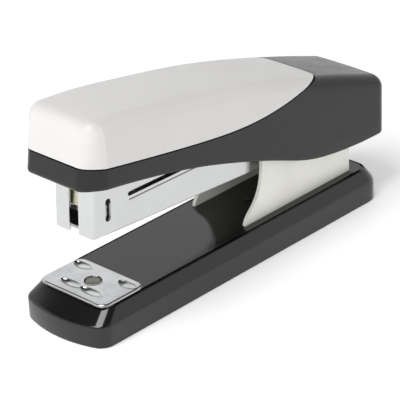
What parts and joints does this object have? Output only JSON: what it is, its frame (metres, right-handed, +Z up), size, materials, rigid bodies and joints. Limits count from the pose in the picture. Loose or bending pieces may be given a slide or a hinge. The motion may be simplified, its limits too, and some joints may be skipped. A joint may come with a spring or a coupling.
{
  "type": "stapler",
  "caption": "Desktop stapler: rounded two-tone cover over a chrome magazine, folded riser bracket and a long weighted base with a turning clinch anvil",
  "frame": {"origin": "centre of the resting face of the base, at the middle of the overall length and width", "axes": "X runs along the stapler from the nose (-X) to the hinge end (+X), Y across it, Z up"},
  "size_m": [0.149, 0.0372, 0.0763],
  "materials": {
    "black_gloss": "glossy black moulding",
    "plate_steel": "plain rolled steel",
    "sole_rubber": "matt rubber",
    "nickel": "bright nickel plate",
    "stem_steel": "turned steel",
    "spring_steel": "spring steel",
    "ivory_paint": "pale ivory grey paint",
    "rivet_steel": "plated steel",
    "chrome": "bright chrome plate",
    "staple_wire": "galvanised wire",
    "dark_plastic": "matt black plastic",
    "charcoal_plastic": "satin charcoal plastic",
    "white_plastic": "satin off-white plastic"
  },
  "bodies": {
    "base": {"base_shell": "black_gloss", "seat_plate": "plate_steel", "base_sole": "sole_rubber", "riser_bracket": "ivory_paint", "bracket_rivets": "rivet_steel", "hinge_pin": "rivet_steel", "lift_spring": "spring_steel", "anvil_spring": "spring_steel"},
    "anvil_lifter": {"anvil_stem": "stem_steel"},
    "anvil": {"anvil_plate": "nickel"},
    "magazine": {"magazine_case": "chrome", "guide_channel": "plate_steel", "staple_rail": "plate_steel", "staple_strip": "staple_wire", "rear_block": "dark_plastic", "pusher_rod": "spring_steel", "pusher_spring": "spring_steel"},
    "pusher": {"staple_pusher": "dark_plastic"},
    "handle": {"cover_shell": "charcoal_plastic", "cover_inlay": "white_plastic", "handle_channel": "plate_steel", "handle_spring": "spring_steel", "driver_blade": "spring_steel", "driver_holder": "ivory_paint", "driver_rivets": "rivet_steel", "cover_screws": "rivet_steel"}
  },
  "joints": [
    {"name": "magazine_close", "type": "hinge", "parent": "base", "child": "magazine", "pos_m": [0.05085, 0, 0.0275], "axis": [0, -1, 0], "range_deg": [0, 9.8], "stiffness_Nm_per_rad": 1.2, "springref_deg": -14.32, "deforming": ["lift_spring"]},
    {"name": "handle_press", "type": "hinge", "parent": "magazine", "child": "handle", "pos_m": [0.05085, 0, 0.0275], "axis": [0, -1, 0], "range_deg": [-33, 4.4], "stiffness_Nm_per_rad": 8, "springref_deg": -0.57, "deforming": ["handle_spring"]},
    {"name": "pusher_slide", "type": "slide", "parent": "magazine", "child": "pusher", "axis": [0.9981, 0, -0.0616], "range_m": [0, 0.042], "stiffness_N_per_m": 40, "springref_m": -0.02, "deforming": ["pusher_spring"]},
    {"name": "anvil_lift", "type": "slide", "parent": "base", "child": "anvil_lifter", "axis": [0, 0, -1], "range_m": [-0.002, 0], "stiffness_N_per_m": 1500, "springref_m": 0.002, "deforming": ["anvil_spring"]},
    {"name": "anvil_turn", "type": "hinge", "parent": "anvil_lifter", "child": "anvil", "pos_m": [-0.0566, 0, 0.01285], "axis": [0, 0, 1], "range_deg": [0, 180]}
  ]
}
